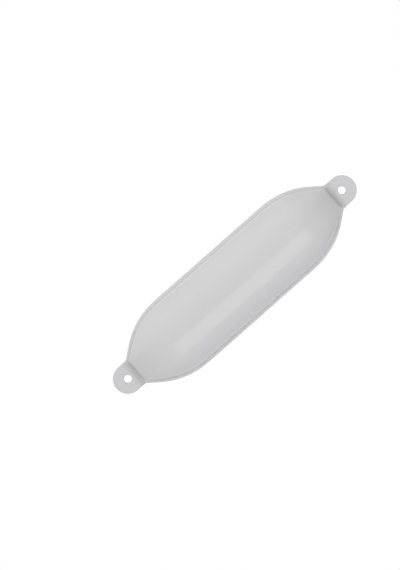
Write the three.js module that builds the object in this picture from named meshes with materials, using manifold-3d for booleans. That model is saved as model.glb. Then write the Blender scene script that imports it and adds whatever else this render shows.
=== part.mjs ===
// A small-boat fender, moulded in one piece: a round body with domed ends, a flat eye at each end, and a
// raised seam all round where the two halves of the mould met.
// Millimetres. The fender hangs along Z, its seam and both eyes lie in the XZ plane, and the centre of the
// upper eye's hole is the origin.

import * as THREE from 'three';
import { mergeVertices } from 'three/addons/utils/BufferGeometryUtils.js';
import Module from 'manifold-3d';

// The body
const BODY_DIAMETER = 108.6;
const STRAIGHT_LENGTH = 206; // of the plain cylinder between the domed ends
const CONE_ANGLE = THREE.MathUtils.degToRad(38.7); // between the outline before an eye and the long axis
const CONE_LENGTH = 20; // of the straight stretch that the outline has there

// The seam
const SEAM_HEIGHT = 4.2; // how far it stands out from the body
const SEAM_THICKNESS = 2.5;
const SEAM_RAMP_LENGTH = 8; // over which it thickens into an eye

// The eyes
const EYE_WIDTH = 43;
const EYE_THICKNESS = 7;
const EYE_HOLE_DIAMETER = 11.4;
const CORNER_TO_HOLE = 15.1; // along the long axis, from the corner of cone and eye to the hole's centre
const CORNER_FILLET = 7.2; // radius of the outline's hollow rounding at that corner

// The shoulders, where the body's two faces come down to an eye
const SHOULDER_ANGLE = THREE.MathUtils.degToRad(80); // the steepest slope of a face, at its foot
const CREASE_RADIUS = 9; // of the hollow rounding between that foot and the eye
const NECK_LENGTH = 38; // over which the sections grow fuller towards an eye
const NECK_FULLNESS = 3.2; // of the section at an eye, where 2 is an ellipse and more is nearer a rectangle
const NECK_MARGIN = 2.6; // how far an eye's edge stands out from the body's foot

// Rounding of the outer edges, and of the holes' rims
const EDGE_RADIUS = 1.2;
const RIM_RADIUS = 0.4;

// How fine the facets are
const FACETS_ACROSS_FACE = 26;
const FACETS_OF_STRAIGHT = 4;
const FACETS_OF_DOME = 9;
const FACETS_OF_CONE = 4;
const FACETS_OF_FILLET = 4;
const FACETS_OF_EYE_END = 10;
const FACETS_OF_SHOULDER = 6;
const FACETS_OF_CREASE = 4;
const FACETS_OF_EDGE = 2;
const FACETS_ROUND_HOLE = 32;

// Sunk depth of the face's foot, so that it crosses the eye's flat and doesn't merely touch it
const FOOT_DEPTH = 0.15;

const { sin, cos, tan, sqrt, min, abs, atan2, PI } = Math;

// The outline, seen from the front: a straight side, a dome's arc, a cone, a hollow fillet and the eye's
// round end, each stretch tangent to the next. Centres are places along and across the long axis, from
// the middle of the body.
const bodyRadius = BODY_DIAMETER / 2;
const seamReach = bodyRadius + SEAM_HEIGHT;
const eyeRadius = EYE_WIDTH / 2;
const domeRadius = (seamReach - eyeRadius - CONE_LENGTH * sin(CONE_ANGLE)) / (1 - cos(CONE_ANGLE));
const domeCentre = { along: STRAIGHT_LENGTH / 2, across: seamReach - domeRadius };
const cornerAlong = domeCentre.along + domeRadius * sin(CONE_ANGLE) + CONE_LENGTH * cos(CONE_ANGLE);
const filletCentre = {
  along: cornerAlong + CORNER_FILLET * tan(CONE_ANGLE / 2),
  across: eyeRadius + CORNER_FILLET,
};
const holeAlong = cornerAlong + CORNER_TO_HOLE;

// A size that eases from one value to another over a length that ends at a corner of cone and eye
function easeToCorner(along, length, from, to) {
  const share = THREE.MathUtils.smoothstep(abs(along), cornerAlong - length, cornerAlong);
  return THREE.MathUtils.lerp(from, to, share);
}

// The web is the sheet in the seam's plane that makes the seam and both eyes. Just before each corner it
// thickens from the seam to the eye, and the body's foot comes nearer to its edge.
function webHalfThickness(along) {
  return easeToCorner(along, SEAM_RAMP_LENGTH, SEAM_THICKNESS, EYE_THICKNESS) / 2;
}

function seamHeightAt(along) {
  return easeToCorner(along, SEAM_RAMP_LENGTH, SEAM_HEIGHT, NECK_MARGIN);
}

// Points on an arc, from one angle to another. Angle 0 points across the long axis, and a right angle
// points along it. A negative radius gives a hollow arc.
function arcPoints(centre, radius, fromAngle, toAngle, facets) {
  return Array.from({ length: facets + 1 }, (_, i) => {
    const angle = fromAngle + ((toAngle - fromAngle) * i) / facets;
    return { along: centre.along + radius * sin(angle), across: centre.across + radius * cos(angle) };
  });
}

function pointsBetween(start, end, facets) {
  return Array.from({ length: facets - 1 }, (_, i) => {
    const share = (i + 1) / facets;
    return {
      along: THREE.MathUtils.lerp(start.along, end.along, share),
      across: THREE.MathUtils.lerp(start.across, end.across, share),
    };
  });
}

// A quarter of the outline, from the straight side's end to the tip of the eye, moved inwards by an inset
function quarterOutline(inset) {
  const dome = arcPoints(domeCentre, domeRadius - inset, 0, CONE_ANGLE, FACETS_OF_DOME);
  const fillet = arcPoints(filletCentre, -(CORNER_FILLET + inset), CONE_ANGLE, 0, FACETS_OF_FILLET);
  const eyeCentre = { along: holeAlong, across: 0 };
  const eyeEnd = arcPoints(eyeCentre, eyeRadius - inset, 0, PI / 2, FACETS_OF_EYE_END);
  return [...dome, ...pointsBetween(dome.at(-1), fillet[0], FACETS_OF_CONE), ...fillet, ...eyeEnd];
}

// The whole outline as a loop: down one side from the upper tip and up the other side from the lower tip
function wholeOutline(inset) {
  const quarter = quarterOutline(inset);
  const upper = quarter.toReversed();
  const lower = quarter.map(({ along, across }) => ({ along: -along, across }));
  const side = [...upper, ...pointsBetween(upper.at(-1), lower[0], FACETS_OF_STRAIGHT), ...lower];
  const otherSide = side.slice(1, -1).toReversed().map(({ along, across }) => ({ along, across: -across }));
  return [...side, ...otherSide];
}

// Half the width of the outline at a place along it, moved inwards by an inset
function halfWidthAt(along, inset) {
  const domeArc = domeRadius - inset;
  const filletArc = CORNER_FILLET + inset;
  const coneStart = domeCentre.along + domeArc * sin(CONE_ANGLE);
  const filletStart = filletCentre.along - filletArc * sin(CONE_ANGLE);
  const place = abs(along);
  if (place <= domeCentre.along) {
    return seamReach - inset;
  }
  if (place <= coneStart) {
    return domeCentre.across + sqrt(domeArc ** 2 - (place - domeCentre.along) ** 2);
  }
  if (place <= filletStart) {
    return domeCentre.across + domeArc * cos(CONE_ANGLE) - (place - coneStart) * tan(CONE_ANGLE);
  }
  if (place <= filletCentre.along) {
    return filletCentre.across - sqrt(filletArc ** 2 - (filletCentre.along - place) ** 2);
  }
  return eyeRadius - inset;
}

// Height of the body's face above the seam's plane, seen from the side, from the middle to the eye: the
// body's own dome, a shoulder arc that turns on to the steep foot, and the hollow crease on to the eye.
// The shoulder arc is the one circle that is tangent to the dome and meets the foot at its slope.
function faceProfile() {
  const faceDomeRadius = domeRadius - SEAM_HEIGHT;
  const faceDomeCentre = { along: domeCentre.along, across: bodyRadius - faceDomeRadius };
  const creaseRun = CREASE_RADIUS * tan(SHOULDER_ANGLE / 2);
  const creaseCentre = {
    along: cornerAlong + creaseRun,
    across: EYE_THICKNESS / 2 - FOOT_DEPTH + CREASE_RADIUS,
  };
  const foot = {
    along: creaseCentre.along - CREASE_RADIUS * sin(SHOULDER_ANGLE),
    across: creaseCentre.across - CREASE_RADIUS * cos(SHOULDER_ANGLE),
  };
  const reach = { along: foot.along - faceDomeCentre.along, across: foot.across - faceDomeCentre.across };
  const reachOnSlope = reach.along * sin(SHOULDER_ANGLE) + reach.across * cos(SHOULDER_ANGLE);
  const reachSquared = reach.along ** 2 + reach.across ** 2;
  const shoulderRadius = (faceDomeRadius ** 2 - reachSquared) / (2 * (faceDomeRadius - reachOnSlope));
  const shoulderCentre = {
    along: foot.along - shoulderRadius * sin(SHOULDER_ANGLE),
    across: foot.across - shoulderRadius * cos(SHOULDER_ANGLE),
  };
  const shoulderStart = atan2(
    shoulderCentre.along - faceDomeCentre.along,
    shoulderCentre.across - faceDomeCentre.across,
  );
  const dome = arcPoints(faceDomeCentre, faceDomeRadius, 0, shoulderStart, FACETS_OF_DOME);
  const shoulder = arcPoints(
    shoulderCentre,
    shoulderRadius,
    shoulderStart,
    SHOULDER_ANGLE,
    FACETS_OF_SHOULDER,
  );
  const crease = arcPoints(creaseCentre, -CREASE_RADIUS, SHOULDER_ANGLE, 0, FACETS_OF_CREASE);
  return [...dome, ...shoulder.slice(1), ...crease.slice(1)];
}

// One section across the body: a half ellipse on each face, both standing inside the web. Near an eye the
// ellipse grows fuller, so that the body ends in a blunt wall over the eye's full width.
function bodySection({ along, across: faceHeight }) {
  const halfWidth = halfWidthAt(along, seamHeightAt(along));
  const foot = webHalfThickness(along) / 2;
  const fullness = easeToCorner(along, NECK_LENGTH, 2, NECK_FULLNESS);
  const section = [new THREE.Vector3(halfWidth, 0, along)];
  for (const side of [1, -1]) {
    for (let i = 0; i <= FACETS_ACROSS_FACE; i++) {
      const angle = (PI * i) / FACETS_ACROSS_FACE;
      const reach = (abs(cos(angle)) ** fullness + abs(sin(angle)) ** fullness) ** (-1 / fullness);
      const x = side * halfWidth * cos(angle) * reach;
      const y = side * (foot + (faceHeight - foot) * sin(angle) * reach);
      section.push(new THREE.Vector3(x, y, along));
    }
    if (side === 1) {
      section.push(new THREE.Vector3(-halfWidth, 0, along));
    }
  }
  return section;
}

// A closed solid from a stack of rings, each with as many points. The two sides of a ring mirror each
// other about its first and middle points, so the first and last rings are closed by rungs across them.
function skinRings(rings) {
  const count = rings[0].length;
  const half = count / 2;
  const triangles = [];
  for (let ring = 0; ring + 1 < rings.length; ring++) {
    for (let i = 0; i < count; i++) {
      const here = ring * count + i;
      const next = ring * count + ((i + 1) % count);
      triangles.push(here, next, next + count, here, next + count, here + count);
    }
  }
  const rungs = [[0, 1, count - 1]];
  for (let i = 1; i < half - 1; i++) {
    rungs.push([i, i + 1, count - i], [i + 1, count - i - 1, count - i]);
  }
  rungs.push([half - 1, half, half + 1]);
  const lastRing = (rings.length - 1) * count;
  for (const [a, b, c] of rungs) {
    triangles.push(a, c, b, lastRing + a, lastRing + b, lastRing + c);
  }
  const geometry = new THREE.BufferGeometry().setFromPoints(rings.flat());
  geometry.setIndex(triangles);
  return geometry;
}

function makeBody() {
  const upper = faceProfile();
  const lower = upper.toReversed().map(({ along, across }) => ({ along: -along, across }));
  const stations = [...lower, ...pointsBetween(lower.at(-1), upper[0], FACETS_OF_STRAIGHT), ...upper];
  return skinRings(stations.map(bodySection));
}

// The rings of the web are its outline at several heights, drawn in at the top and bottom to round the edge
function makeWeb() {
  const edgeRadius = min(EDGE_RADIUS, SEAM_THICKNESS / 2);
  const rings = [];
  for (const side of [-1, 1]) {
    for (let i = 0; i <= FACETS_OF_EDGE; i++) {
      const angle = (PI / 2) * (side < 0 ? 1 - i / FACETS_OF_EDGE : i / FACETS_OF_EDGE);
      const inset = edgeRadius * (1 - cos(angle));
      const drop = edgeRadius * (1 - sin(angle));
      const ring = wholeOutline(inset).map(({ along, across }) => {
        const y = side * (webHalfThickness(along) - drop);
        return new THREE.Vector3(across, y, along);
      });
      rings.push(ring);
    }
  }
  return skinRings(rings);
}

// The cutter of an eye's hole, flared at both faces to round the hole's rims
function makeHoleCutter(along) {
  const holeRadius = EYE_HOLE_DIAMETER / 2;
  const halfEye = EYE_THICKNESS / 2;
  const rimRadius = min(RIM_RADIUS, halfEye / 2);
  const pastFace = EYE_THICKNESS;
  const rim = Array.from({ length: FACETS_OF_EDGE + 1 }, (_, i) => {
    const angle = (PI / 2) * (i / FACETS_OF_EDGE);
    return new THREE.Vector2(
      holeRadius + rimRadius * (1 - cos(angle)),
      halfEye - rimRadius + rimRadius * sin(angle),
    );
  });
  const upper = [
    ...rim,
    new THREE.Vector2(holeRadius + rimRadius, pastFace),
    new THREE.Vector2(0, pastFace),
  ];
  const lower = upper.toReversed().map(({ x, y }) => new THREE.Vector2(x, -y));
  const cutter = new THREE.LatheGeometry([...lower, ...upper], FACETS_ROUND_HOLE);
  return cutter.translate(0, 0, along);
}

// Joining and cutting
const wasm = await Module();
wasm.setup();

function toSolid(geometry) {
  const bare = geometry.clone();
  bare.deleteAttribute('normal');
  bare.deleteAttribute('uv');
  const merged = mergeVertices(bare);
  const mesh = new wasm.Mesh({
    numProp: 3,
    vertProperties: new Float32Array(merged.attributes.position.array),
    triVerts: new Uint32Array(merged.index.array),
  });
  return new wasm.Manifold(mesh);
}

function toGeometry(solid) {
  const mesh = solid.getMesh();
  const geometry = new THREE.BufferGeometry();
  geometry.setAttribute('position', new THREE.BufferAttribute(mesh.vertProperties, 3));
  geometry.setIndex(new THREE.BufferAttribute(mesh.triVerts, 1));
  geometry.computeVertexNormals();
  return geometry;
}

function makeFender() {
  let solid = toSolid(makeBody()).add(toSolid(makeWeb()));
  for (const along of [holeAlong, -holeAlong]) {
    solid = solid.subtract(toSolid(makeHoleCutter(along)));
  }
  const vinyl = new THREE.MeshStandardMaterial({ color: 0xd3d3d4, roughness: 0.35, metalness: 0 });
  const fender = new THREE.Mesh(toGeometry(solid), vinyl);
  fender.name = 'fender';
  fender.position.z = -holeAlong;
  return fender;
}

const boatFender = new THREE.Group();
boatFender.add(makeFender());

export default boatFender;
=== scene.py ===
# %% [markdown]
# A boat fender: the soft, air-filled bumper that hangs between a small boat and the dock. It is blow
# moulded in one piece of PVC, so this lesson makes one smooth mesh, then its glossy vinyl, then a plain
# studio round it. Everything is in metres, and the fender hangs along Z from its upper eye.

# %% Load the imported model
import math

import bmesh
import bpy
from mathutils import Matrix, Vector


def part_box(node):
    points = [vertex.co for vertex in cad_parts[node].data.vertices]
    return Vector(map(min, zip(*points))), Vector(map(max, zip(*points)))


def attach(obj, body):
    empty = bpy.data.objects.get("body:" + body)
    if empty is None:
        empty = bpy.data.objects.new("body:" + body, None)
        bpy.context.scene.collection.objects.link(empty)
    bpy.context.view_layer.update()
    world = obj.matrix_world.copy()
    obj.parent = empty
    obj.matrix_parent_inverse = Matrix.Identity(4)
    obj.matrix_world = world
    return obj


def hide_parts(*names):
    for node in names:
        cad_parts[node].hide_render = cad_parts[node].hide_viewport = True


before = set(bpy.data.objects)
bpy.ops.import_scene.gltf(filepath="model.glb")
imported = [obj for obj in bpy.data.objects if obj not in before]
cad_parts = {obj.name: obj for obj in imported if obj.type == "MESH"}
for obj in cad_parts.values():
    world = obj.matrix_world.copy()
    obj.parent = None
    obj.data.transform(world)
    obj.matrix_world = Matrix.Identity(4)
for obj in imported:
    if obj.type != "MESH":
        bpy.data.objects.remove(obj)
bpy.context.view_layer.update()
node_low, node_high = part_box("fender")
print("the fender's box:", tuple(node_low), tuple(node_high))

# %% [markdown]
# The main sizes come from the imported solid, so this mesh can't drift away from it. The origin is the
# centre of the upper eye's hole, so the box's top is the eye's own radius. Only the sizes that a box
# doesn't tell are written here, each as the real fender has it.

# %% Sizes of the fender
MM = 0.001
EYE_RADIUS = node_high[2]
SEAM_REACH = node_high[0]
BODY_RADIUS = node_high[1]
HOLE_ALONG = -(node_low[2] + node_high[2]) / 2
SEAM_HEIGHT = SEAM_REACH - BODY_RADIUS

STRAIGHT_LENGTH = 206 * MM
CONE_ANGLE = math.radians(38.7)
CONE_LENGTH = 20 * MM
SEAM_THICKNESS = 2.5 * MM
SEAM_RAMP_LENGTH = 8 * MM
EYE_THICKNESS = 7 * MM
HOLE_RADIUS = 5.7 * MM
CORNER_FILLET = 7.2 * MM
SHOULDER_ANGLE = math.radians(80)
CREASE_RADIUS = 9 * MM
NECK_MARGIN = 2.6 * MM
NECK_FULLNESS = 3.2
NECK_LENGTH = 38 * MM
RIM_RADIUS = 0.4 * MM
print("hole centres lie", round(2 * HOLE_ALONG / MM, 1), "mm apart")

# %% [markdown]
# Seen from the front, the fender's outline is a straight side, the arc of a dome, a short cone and a
# hollow fillet into the eye. Each stretch is tangent to the next, as the edge of a mould is, so a light's
# reflection runs over it without a kink. The same formulas, moved inwards by the seam's height, give the
# foot where the round body rises from the seam.

# %% The outline's arcs
dome_radius = (SEAM_REACH - EYE_RADIUS - CONE_LENGTH * math.sin(CONE_ANGLE)) / (1 - math.cos(CONE_ANGLE))
dome_across = SEAM_REACH - dome_radius
dome_along = STRAIGHT_LENGTH / 2
corner_along = dome_along + dome_radius * math.sin(CONE_ANGLE) + CONE_LENGTH * math.cos(CONE_ANGLE)
fillet_along = corner_along + CORNER_FILLET * math.tan(CONE_ANGLE / 2)
fillet_across = EYE_RADIUS + CORNER_FILLET


def half_width(along, inset):
    """Half the outline's width at a distance from the middle, moved inwards by an inset."""
    dome = dome_radius - inset
    fillet = CORNER_FILLET + inset
    cone_start = dome_along + dome * math.sin(CONE_ANGLE)
    fillet_start = fillet_along - fillet * math.sin(CONE_ANGLE)
    if along <= dome_along:
        return SEAM_REACH - inset
    if along <= cone_start:
        return dome_across + math.sqrt(dome**2 - (along - dome_along) ** 2)
    if along <= fillet_start:
        return dome_across + dome * math.cos(CONE_ANGLE) - (along - cone_start) * math.tan(CONE_ANGLE)
    if along <= fillet_along:
        return fillet_across - math.sqrt(fillet**2 - (fillet_along - along) ** 2)
    return EYE_RADIUS - inset


def ease(along, length, here, there):
    """A size that eases from one value to another over a length that ends at the corner."""
    share = min(max((along - corner_along + length) / length, 0), 1)
    return here + (there - here) * share * share * (3 - 2 * share)


def web_height(along):
    """Half the thickness of the sheet that makes the seam and the eyes."""
    return ease(along, SEAM_RAMP_LENGTH, SEAM_THICKNESS, EYE_THICKNESS) / 2


def seam_height(along):
    """How far the sheet stands out from the body."""
    return ease(along, SEAM_RAMP_LENGTH, SEAM_HEIGHT, NECK_MARGIN)


def fullness(along):
    """How full a section is: 2 is an ellipse, and more is nearer a rectangle."""
    return ease(along, NECK_LENGTH, 2, NECK_FULLNESS)


print("the corner of cone and eye lies", round(corner_along / MM, 1), "mm from the middle")

# %% [markdown]
# Seen from the side, each face follows the same dome, then a tighter shoulder that turns down steeply, and
# a small hollow crease on to the eye's flat. The shoulder is the one circle that is tangent to the dome
# and meets the foot at its slope, which is worked out here instead of guessed. Together with the outline,
# it says how wide and how high a section of the fender is at any place.

# %% Stations along the fender
DOME_STEPS = 7
SHOULDER_STEPS = 5
CREASE_STEPS = 4
STRAIGHT_STATIONS = (0, 0.45, 0.85)
EYE_STATIONS = (0.35, 1)


def arc(along, across, radius, start, end, steps):
    """Places on an arc, where angle 0 points across the fender. A negative radius gives a hollow arc."""
    angles = [start + (end - start) * step / steps for step in range(steps + 1)]
    return [(along + radius * math.sin(angle), across + radius * math.cos(angle)) for angle in angles]


face_dome_radius = dome_radius - SEAM_HEIGHT
face_dome_across = BODY_RADIUS - face_dome_radius
crease_along = corner_along + CREASE_RADIUS * math.tan(SHOULDER_ANGLE / 2)
crease_across = EYE_THICKNESS / 2 + CREASE_RADIUS
foot_along = crease_along - CREASE_RADIUS * math.sin(SHOULDER_ANGLE)
foot_across = crease_across - CREASE_RADIUS * math.cos(SHOULDER_ANGLE)

reach_along = foot_along - dome_along
reach_across = foot_across - face_dome_across
reach_on_slope = reach_along * math.sin(SHOULDER_ANGLE) + reach_across * math.cos(SHOULDER_ANGLE)
shoulder_radius = (face_dome_radius**2 - reach_along**2 - reach_across**2) / (
    2 * (face_dome_radius - reach_on_slope)
)
shoulder_along = foot_along - shoulder_radius * math.sin(SHOULDER_ANGLE)
shoulder_across = foot_across - shoulder_radius * math.cos(SHOULDER_ANGLE)
shoulder_start = math.atan2(shoulder_along - dome_along, shoulder_across - face_dome_across)

profile = [(share * dome_along, BODY_RADIUS) for share in STRAIGHT_STATIONS]
profile += arc(dome_along, face_dome_across, face_dome_radius, 0, shoulder_start, DOME_STEPS)
profile += arc(
    shoulder_along, shoulder_across, shoulder_radius, shoulder_start, SHOULDER_ANGLE, SHOULDER_STEPS
)[1:]
profile += arc(crease_along, crease_across, -CREASE_RADIUS, SHOULDER_ANGLE, 0, CREASE_STEPS)[1:]
profile += [
    (crease_along + share * (HOLE_ALONG - crease_along), EYE_THICKNESS / 2) for share in EYE_STATIONS
]
print("the shoulder's radius is", round(shoulder_radius / MM, 1), "mm, over", len(profile), "stations")

# %% [markdown]
# The fender is the same left and right, front and back, top and bottom, so only an eighth of it is
# modelled, and mirrors make the rest. A section of the eighth is a quarter of a circle for the body's face,
# and from its foot a few points outwards for the seam's flat and its rounded edge. Towards the eye the
# quarter circle grows fuller, as the body ends there in a blunt wall over the eye's full width.

# %% Points of a section
FACE_FACETS = 14
SEAM_SHARES = (0.34, 0.74)
EDGE_SHARE = 0.55


def section(along, face):
    """The points of the section at a place along the fender, from the crown down to the seam's edge."""
    foot, edge = half_width(along, seam_height(along)), half_width(along, 0)
    web, power = web_height(along), fullness(along)
    points = []
    for step in range(FACE_FACETS, -1, -1):
        angle = math.pi / 2 * step / FACE_FACETS
        size = (math.cos(angle) ** power + math.sin(angle) ** power) ** (1 / power)
        points.append((foot * math.cos(angle) / size, web + (face - web) * math.sin(angle) / size))
    points.insert(-1, ((points[-2][0] + foot) / 2, (points[-2][1] + web) / 2))
    points += [(foot + share * (edge - foot), web) for share in SEAM_SHARES]
    points += [(edge, EDGE_SHARE * web), (edge, 0)]
    return [Vector((x, y, along)) for x, y in points]


print("points in a section:", len(section(*profile[0])))

# %% [markdown]
# The first section is drawn at the fender's middle from a circle. Three quarters of it are deleted, the
# facet at the foot is cut in two to hold the crease sharp, and the seam is extruded from the foot. A spin
# could make the round body, but not the flat eyes, so the section is carried along instead.

# %% Draw the section at the middle
TINY = 0.001 * MM


def pick(test):
    """Select the mesh's points that pass the test, and nothing else."""
    bpy.ops.mesh.select_mode(type="VERT")
    bpy.ops.mesh.select_all(action="DESELECT")
    points = bmesh.from_edit_mesh(bpy.context.object.data)
    for point in points.verts:
        point.select = test(point.co)
    points.select_flush(True)
    bmesh.update_edit_mesh(bpy.context.object.data)


bpy.ops.object.select_all(action="DESELECT")
bpy.ops.mesh.primitive_circle_add(vertices=4 * FACE_FACETS, radius=BODY_RADIUS)
fender = bpy.context.object
fender.name = "fender_moulding"
web = web_height(0)
bpy.ops.object.mode_set(mode="EDIT")
bpy.ops.transform.resize(value=(1, (BODY_RADIUS - web) / BODY_RADIUS, 1), center_override=(0, 0, 0))
bpy.ops.transform.translate(value=(0, web, 0))
pick(lambda place: place.x < -TINY or place.y < web - TINY)
bpy.ops.mesh.delete(type="VERT")

# The seam's foot, its flat and the two points of its rounded edge
seam_points = section(*profile[0])[-len(SEAM_SHARES) - 3 :]
first_rise = (BODY_RADIUS - web) * math.sin(math.pi / 2 / FACE_FACETS)
pick(lambda place: place.y < web + first_rise + TINY)
bpy.ops.mesh.subdivide(number_cuts=1)
pick(lambda place: place.y < web + TINY)
for here, there in zip(seam_points, seam_points[1:]):
    bpy.ops.mesh.extrude_region_move(TRANSFORM_OT_translate={"value": there - here})
print("points drawn:", len(bmesh.from_edit_mesh(fender.data).verts))

# %% [markdown]
# Now the section is extruded from station to station, and after each step every point of the new section
# is moved to its own place. That is slower than a loft tool, but every point lands where the formulas say,
# and the faces stay an even net of quads, which the smoothing later on needs.

# %% Carry the section along the fender


def carry(here, there):
    """Extrude the section from one station to the next and move its points to their new places."""
    step = Vector((0, 0, there[0] - here[0]))
    pick(lambda place: abs(place.z - here[0]) < TINY)
    bpy.ops.mesh.extrude_region_move(TRANSFORM_OT_translate={"value": step})
    for old, new in zip(section(*here), section(*there)):
        pick(lambda place: (place - old - step).length < TINY)
        bpy.ops.transform.translate(value=new - old - step)


for here, there in zip(profile, profile[1:]):
    carry(here, there)
print("faces so far:", len(bmesh.from_edit_mesh(fender.data).faces))

# %% [markdown]
# The eye's end is round about its hole, so there the section is spun a quarter turn about the hole's axis.
# The spin carries the rounded edge round the end at its full size, which scaling couldn't do. The points
# on the axis fall together and are merged.

# %% Spin the round end of the eye
SPIN_STEPS = 12
pick(lambda place: place.z > HOLE_ALONG - TINY)
bpy.ops.mesh.spin(steps=SPIN_STEPS, angle=math.pi / 2, center=(0, 0, HOLE_ALONG), axis=(0, 1, 0))
bpy.ops.mesh.select_all(action="SELECT")
bpy.ops.mesh.remove_doubles(threshold=TINY)
bpy.ops.object.mode_set(mode="OBJECT")
print("the eighth reaches to", round(max(v.co.z for v in fender.data.vertices) / MM, 2), "mm")

# %% [markdown]
# A Mirror on three axes makes the whole cage from the eighth, and then its faces are turned to point
# outwards. A Subdivision Surface rounds it: the seam's edge, the small hollow at its foot and the rims of
# the eyes all come out soft, as a mould leaves them. Bevels could do that too, but they pinch where seam and
# eye meet.

# %% Mirror the eighth and smooth it
SMOOTH_LEVELS = 2


def apply_modifier(piece, kind, **settings):
    """Add a modifier with its settings and apply it."""
    modifier = piece.modifiers.new(kind.lower(), kind)
    for name, value in settings.items():
        setattr(modifier, name, value)
    bpy.ops.object.modifier_apply(modifier=modifier.name)


apply_modifier(fender, "MIRROR", use_axis=(True, True, True), merge_threshold=TINY)
bpy.ops.object.mode_set(mode="EDIT")
bpy.ops.mesh.select_all(action="SELECT")
bpy.ops.mesh.remove_doubles(threshold=TINY)
bpy.ops.mesh.normals_make_consistent(inside=False)
bpy.ops.object.mode_set(mode="OBJECT")
apply_modifier(fender, "SUBSURF", levels=SMOOTH_LEVELS, render_levels=SMOOTH_LEVELS)
print("faces after smoothing:", len(fender.data.polygons))

# %% [markdown]
# The holes are drilled last, with a Boolean. On the flat of an eye a cut leaves no mark in the shading,
# and a round cutter gives a rounder hole than the cage could. Then each hole's rims are bevelled, because
# the real ones are soft enough not to chafe a line.

# %% Drill the holes and round their rims
HOLE_FACETS = 64
RIM_SEGMENTS = 4
CUTTER_DEPTH = 3 * EYE_THICKNESS
CLOSE = 0.02 * MM
hole_places = (HOLE_ALONG, -HOLE_ALONG)


def on_rim(place):
    """Whether a place lies on the sharp rim of either hole."""
    on_face = abs(abs(place.y) - EYE_THICKNESS / 2) < CLOSE
    distances = [math.hypot(place.x, place.z - along) for along in hole_places]
    return on_face and min(distances) < HOLE_RADIUS + CLOSE


for along in hole_places:
    bpy.ops.mesh.primitive_cylinder_add(
        vertices=HOLE_FACETS,
        radius=HOLE_RADIUS,
        depth=CUTTER_DEPTH,
        location=(0, 0, along),
        rotation=(math.pi / 2, 0, 0),
    )
    cutter = bpy.context.object
    bpy.ops.object.select_all(action="DESELECT")
    fender.select_set(True)
    bpy.context.view_layer.objects.active = fender
    apply_modifier(fender, "BOOLEAN", operation="DIFFERENCE", object=cutter, solver="EXACT")
    bpy.data.objects.remove(cutter)

bpy.ops.object.mode_set(mode="EDIT")
pick(on_rim)
bpy.ops.mesh.bevel(offset=RIM_RADIUS, segments=RIM_SEGMENTS, affect="EDGES")
bpy.ops.mesh.select_all(action="SELECT")
bpy.ops.mesh.remove_doubles(threshold=TINY)
bpy.ops.object.mode_set(mode="OBJECT")
bpy.ops.object.shade_smooth()
print("faces with the holes:", len(fender.data.polygons))

# %% [markdown]
# So far the fender's middle has been at the origin. Its real origin is the centre of the upper eye's hole,
# so the mesh is moved down and the move is applied, which leaves the object itself at the origin. Weighted
# normals then keep the eyes' flats looking flat right up to their soft rims.

# %% Put the fender in its place
bpy.ops.transform.translate(value=(0, 0, -HOLE_ALONG))
bpy.ops.object.transform_apply(location=True, rotation=True, scale=True)
apply_modifier(fender, "WEIGHTED_NORMAL", keep_sharp=False)

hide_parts("fender")
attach(fender, "root")
low = [round(min(v.co[axis] for v in fender.data.vertices) / MM, 2) for axis in range(3)]
high = [round(max(v.co[axis] for v in fender.data.vertices) / MM, 2) for axis in range(3)]
print("the moulding reaches from", low, "to", high, "mm")

# %% [markdown]
# The finish is glossy grey-white vinyl. Shader maths reads best as plain formulas, so one small class
# wraps a socket and lets Python's own signs add Math nodes, and one method makes every other node.

# %% Helpers for shader formulas


class Value:
    """A number that runs through a shader. Python's signs on it add Math nodes."""

    def __init__(self, nodes, socket):
        self.nodes = nodes
        self.socket = socket

    def math(self, operation, *others):
        sockets = dict(enumerate((self, *others)))
        return self.nodes.make("ShaderNodeMath", {"operation": operation}, sockets)

    def __add__(self, other):
        return self.math("ADD", other)

    def __radd__(self, other):
        return self.math("ADD", other)

    def __sub__(self, other):
        return self.math("SUBTRACT", other)

    def __rsub__(self, other):
        return (self * -1).math("ADD", other)

    def __mul__(self, other):
        return self.math("MULTIPLY", other)

    def __rmul__(self, other):
        return self.math("MULTIPLY", other)

    def size(self):
        return self.math("ABSOLUTE")


class Nodes:
    """The nodes of a material or of the world. make() adds one from its type, settings and sockets."""

    def __init__(self, owner):
        owner.use_nodes = True
        self.tree = owner.node_tree
        self.tree.nodes.clear()

    def make(self, kind, settings=None, sockets=None, output=0):
        made = self.tree.nodes.new(kind)
        for name, value in (settings or {}).items():
            setattr(made, name, value)
        for name, value in (sockets or {}).items():
            if isinstance(value, Value):
                self.tree.links.new(value.socket, made.inputs[name])
            else:
                made.inputs[name].default_value = value
        return Value(self, made.outputs[output]) if made.outputs else None


# %% [markdown]
# Vinyl from a mould isn't perfectly even. Its wall wavers by a tenth of a millimetre over some
# centimetres, which makes a long reflection's edge wander a little, and its skin has a fine grain. The
# gloss is higher on the blown body than on the pinched seam and eyes. The eyes are coloured a shade darker
# and cooler than the body. The crease before each eye gets painted shade: a darker colour in a band across
# it. All of it reads Object coordinates, in metres, so it keeps its real scale.

# %% Glossy vinyl
VINYL = (0.637, 0.636, 0.638, 1)
VINYL_SHADE = (0.625, 0.624, 0.626, 1)
EYE_VINYL = (0.608, 0.607, 0.622, 1)
# Painted shade in the crease before each eye: its darker colour, the crease's place and how far the shade
# reaches
CREASE_SHADE_VINYL = (0.55, 0.545, 0.545, 1)
CREASE_PLACE = 191.5 * MM
CREASE_SHADE_REACH = 9 * MM
# Where the eye's colour sets in, from the crease, and the pinched skin's gloss, from the eye's flat
EYE_FADE = (-4 * MM, 6 * MM)
PINCHED_FADE = (1.5 * MM, 0.4 * MM)
MOTTLE_PER_METRE = 22
SMUDGES_PER_METRE = 60
BODY_ROUGHNESS = 0.05
ROUGHNESS_SPREAD = 0.02
PINCHED_ROUGHNESS = 0.12
WAVER_PER_METRE = 14
WAVER_DEPTH = 0.1 * MM
GRAIN_PER_METRE = 900
GRAIN_DEPTH = 0.0015 * MM
VINYL_IOR = 1.53


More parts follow.
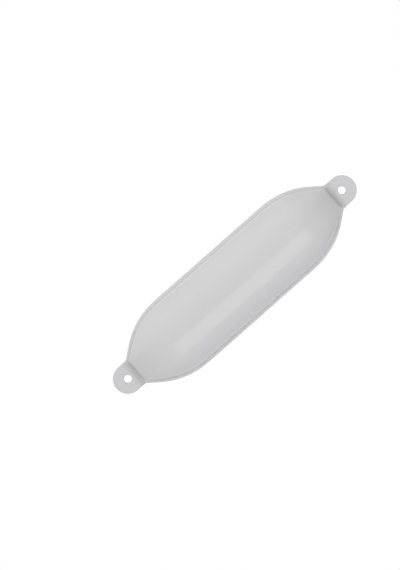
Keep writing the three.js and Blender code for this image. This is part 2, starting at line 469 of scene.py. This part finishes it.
def make_vinyl():
    """The fender's one material, from its colour, its painted shade in the creases, its gloss and its
    relief.
    """
    vinyl = bpy.data.materials.new("glossy_vinyl")
    nodes = Nodes(vinyl)
    place = nodes.make("ShaderNodeTexCoord", output="Object")

    def noise(per_metre, detail, offset):
        """A cloudy pattern between 0 and 1. Its offset keeps it apart from the other patterns."""
        spot = nodes.make("ShaderNodeMapping", sockets={"Vector": place, "Location": (offset,) * 3})
        return nodes.make(
            "ShaderNodeTexNoise", sockets={"Vector": spot, "Scale": per_metre, "Detail": detail}
        )

    def fade(value, start, end):
        """A smooth rise from 0 at the start to 1 at the end."""
        limits = {"From Min": min(start, end), "From Max": max(start, end)}
        results = {"To Min": float(start > end), "To Max": float(start < end)}
        return nodes.make(
            "ShaderNodeMapRange",
            {"interpolation_type": "SMOOTHSTEP"},
            {"Value": value, **limits, **results},
        )

    def blend(share, here, there):
        """A colour that is the first at share 0 and the second at share 1."""
        colours = {"Factor": share, "A": here, "B": there}
        return nodes.make("ShaderNodeMix", {"data_type": "RGBA"}, colours, output=2)

    depth, height = (
        nodes.make("ShaderNodeSeparateXYZ", sockets={"Vector": place}, output=axis) for axis in "YZ"
    )
    pinched = fade(depth.size() - EYE_THICKNESS / 2, *PINCHED_FADE)
    from_crease = (height + HOLE_ALONG).size() - CREASE_PLACE
    on_eye = fade(from_crease, *EYE_FADE)
    # Painted shade: a band across the crease before each eye, darkest at the crease
    crease_shade = fade(from_crease.size(), CREASE_SHADE_REACH, 0)

    colour = blend(noise(MOTTLE_PER_METRE, detail=3, offset=1.1), VINYL, VINYL_SHADE)
    colour = blend(on_eye, colour, EYE_VINYL)
    # The painted crease shade darkens the colour
    colour = blend(crease_shade, colour, CREASE_SHADE_VINYL)
    smudge = noise(SMUDGES_PER_METRE, detail=4, offset=1.9) - 0.5
    roughness = BODY_ROUGHNESS + smudge * ROUGHNESS_SPREAD + pinched * PINCHED_ROUGHNESS
    waver = noise(WAVER_PER_METRE, detail=1, offset=0.3) * WAVER_DEPTH
    grain = noise(GRAIN_PER_METRE, detail=2, offset=0.7) * GRAIN_DEPTH
    relief = waver + grain
    normal = nodes.make("ShaderNodeBump", sockets={"Height": relief, "Strength": 1.0, "Distance": 1.0})
    shader = nodes.make(
        "ShaderNodeBsdfPrincipled",
        sockets={"Base Color": colour, "Roughness": roughness, "Normal": normal, "IOR": VINYL_IOR},
    )
    nodes.make("ShaderNodeOutputMaterial", sockets={"Surface": shader})
    return vinyl


fender.data.materials.clear()
fender.data.materials.append(make_vinyl())
print("materials on the fender:", [slot.material.name for slot in fender.material_slots])

# %% [markdown]
# The camera comes before the lights, because the lights are placed by how they show in the picture. The
# photograph looks straight at the eyes from far away, with the long axis rising to the right, so a long
# lens looks along Y and the camera is rolled. Its place is set by where the fender's middle falls in the
# picture, with no lens shift.

# %% Camera
PICTURE_WIDTH, PICTURE_HEIGHT = 400, 570
AXIS_TILT = math.radians(41.41)
MIDDLE_PIXEL = (234.81, 284.45)
LENGTH_IN_PIXELS = 315.2
CAMERA_DISTANCE = 12
SENSOR_WIDTH = 36

middle = Vector((0, 0, -HOLE_ALONG))
picture_right = Vector((math.sin(AXIS_TILT), 0, math.cos(AXIS_TILT)))
picture_up = Vector((-math.cos(AXIS_TILT), 0, math.sin(AXIS_TILT)))
towards_camera = Vector((0, -1, 0))
metres_per_pixel = (node_high[2] - node_low[2]) / LENGTH_IN_PIXELS


def in_picture(right, up, towards):
    """A place given by distances to the right, up and towards the camera from the fender's middle."""
    return middle + picture_right * right + picture_up * up + towards_camera * towards


camera_data = bpy.data.cameras.new("camera")
camera = bpy.data.objects.new("camera", camera_data)
bpy.context.scene.collection.objects.link(camera)
camera_data.sensor_width = SENSOR_WIDTH
camera_data.lens = SENSOR_WIDTH * CAMERA_DISTANCE / (PICTURE_HEIGHT * metres_per_pixel)
aside = (PICTURE_WIDTH / 2 - MIDDLE_PIXEL[0]) * metres_per_pixel
above = (MIDDLE_PIXEL[1] - PICTURE_HEIGHT / 2) * metres_per_pixel
camera_turn = Matrix((picture_right, picture_up, towards_camera)).transposed().to_4x4()
camera.matrix_world = Matrix.Translation(in_picture(aside, above, CAMERA_DISTANCE)) @ camera_turn
bpy.context.scene.camera = camera
print("lens:", round(camera_data.lens, 1), "mm, one pixel is", round(metres_per_pixel / MM, 3), "mm")

# %% [markdown]
# A fender photographed for a shop hangs in a bright tent with softboxes round it. Five of them light its
# soft form from behind the tent's cloth, so they don't show in the gloss: four for the photograph, and one
# at the back, so that the hidden side isn't left dark. A sixth inside the tent shows in the gloss only. Its
# reflection draws the light stripe along the body, with the sharp edge that tells the eye how glossy the
# vinyl is. Each is placed by its angle round the long axis, because that angle decides where on the round
# body its light falls. The one at the right side is slightly cool, which gives the body's lower right its
# faint violet.

# %% Softboxes
LAMP_DISTANCE = 1.6
LIGHT, GLOSS = "light", "gloss"
WHITE, COOL = (1, 1, 1), (0.94, 0.92, 1)
# Each softbox: its angle in degrees, where 0 is the camera's side and more is the lower right, its width,
# its length, its radiance, its colour, and what it gives
SOFTBOXES = {
    "left_side": (-92, 0.9, 0.9, 3.35, WHITE, LIGHT),
    "front": (-8, 0.9, 3.6, 2.36, WHITE, LIGHT),
    "right_front": (40, 1.3, 1.8, 0.2, WHITE, LIGHT),
    "right_side": (85, 0.9, 0.9, 2.3, COOL, LIGHT),
    "back": (180, 0.9, 3.6, 1.7, WHITE, LIGHT),
    "stripe": (36, 1.26, 1.76, 0.9, WHITE, GLOSS),
}


def softbox(name, angle, width, length, radiance, colour, gives):
    """A rectangular light of even brightness that faces the fender's middle, its length along Z."""
    data = bpy.data.lights.new(name, "AREA")
    data.shape = "RECTANGLE"
    data.size = width
    data.size_y = length
    data.energy = radiance * width * length * math.pi
    data.color = colour
    lamp = bpy.data.objects.new(name, data)
    away = Vector((math.sin(angle), -math.cos(angle), 0))
    side = Vector((0, 0, 1)).cross(away)
    turn = Matrix((side, (0, 0, 1), away)).transposed().to_4x4()
    lamp.matrix_world = Matrix.Translation(middle + away * LAMP_DISTANCE) @ turn
    lamp.visible_camera = False
    lamp.visible_glossy = gives == GLOSS
    lamp.visible_diffuse = gives == LIGHT
    bpy.context.scene.collection.objects.link(lamp)


for name, (degrees, *rest) in SOFTBOXES.items():
    softbox(name, math.radians(degrees), *rest)
print("softboxes:", ", ".join(SOFTBOXES))

# %% [markdown]
# The tent itself is the world. A strength of 1 is white, and that is what the camera and the gloss see of
# it. As a source of light it is dimmer, so that the fender's own pale grey doesn't burn out. The Light
# Path node tells the two apart.

# %% World
AMBIENT = 0.34


def seen(nodes):
    """1 for the rays that look at a thing straight, in gloss or through glass, and 0 for all others."""
    kinds = ("Camera", "Glossy", "Transmission")
    straight, in_gloss, through_glass = (
        nodes.make("ShaderNodeLightPath", output=f"Is {kind} Ray") for kind in kinds
    )
    return straight.math("MAXIMUM", in_gloss).math("MAXIMUM", through_glass)


tent = bpy.data.worlds.new("tent")
bpy.context.scene.world = tent
nodes = Nodes(tent)
strength = AMBIENT + seen(nodes) * (1 - AMBIENT)
background = nodes.make("ShaderNodeBackground", sockets={"Color": (1, 1, 1, 1), "Strength": strength})
nodes.make("ShaderNodeOutputWorld", sockets={"Surface": background})
bpy.context.scene.view_settings.view_transform = "Standard"
print("the tent's light:", AMBIENT)

# %% [markdown]
# The floor is a plain white card well below the hanging fender, which sends a little light back up to it.
# It would look grey against the white tent, because it lies in the tent's own dim light. A little glow that
# only the camera and the gloss see lifts it to white, and the fender's soft shadow stays on it.

# %% Floor
FLOOR_BELOW_MIDDLE = 0.566
FLOOR_SIZE = 2.0
FLOOR_WHITE = (0.86, 0.86, 0.86, 1)
FLOOR_ROUGHNESS = 0.9
FLOOR_SHEEN = 0.2
FLOOR_GLOW = 0.4

bpy.ops.mesh.primitive_plane_add(size=FLOOR_SIZE, location=middle - Vector((0, 0, FLOOR_BELOW_MIDDLE)))
floor = bpy.context.object
floor.name = "floor"
card = bpy.data.materials.new("white_card")
floor.data.materials.append(card)
nodes = Nodes(card)
glow = nodes.make("ShaderNodeCombineXYZ", sockets={axis: seen(nodes) * FLOOR_GLOW for axis in "XYZ"})
shader = nodes.make(
    "ShaderNodeBsdfPrincipled",
    sockets={
        "Base Color": FLOOR_WHITE,
        "Roughness": FLOOR_ROUGHNESS,
        "Specular IOR Level": FLOOR_SHEEN,
        "Emission Color": glow,
        "Emission Strength": 1.0,
    },
)
nodes.make("ShaderNodeOutputMaterial", sockets={"Surface": shader})
print("the floor lies at", round(floor.location.z, 3), "m")
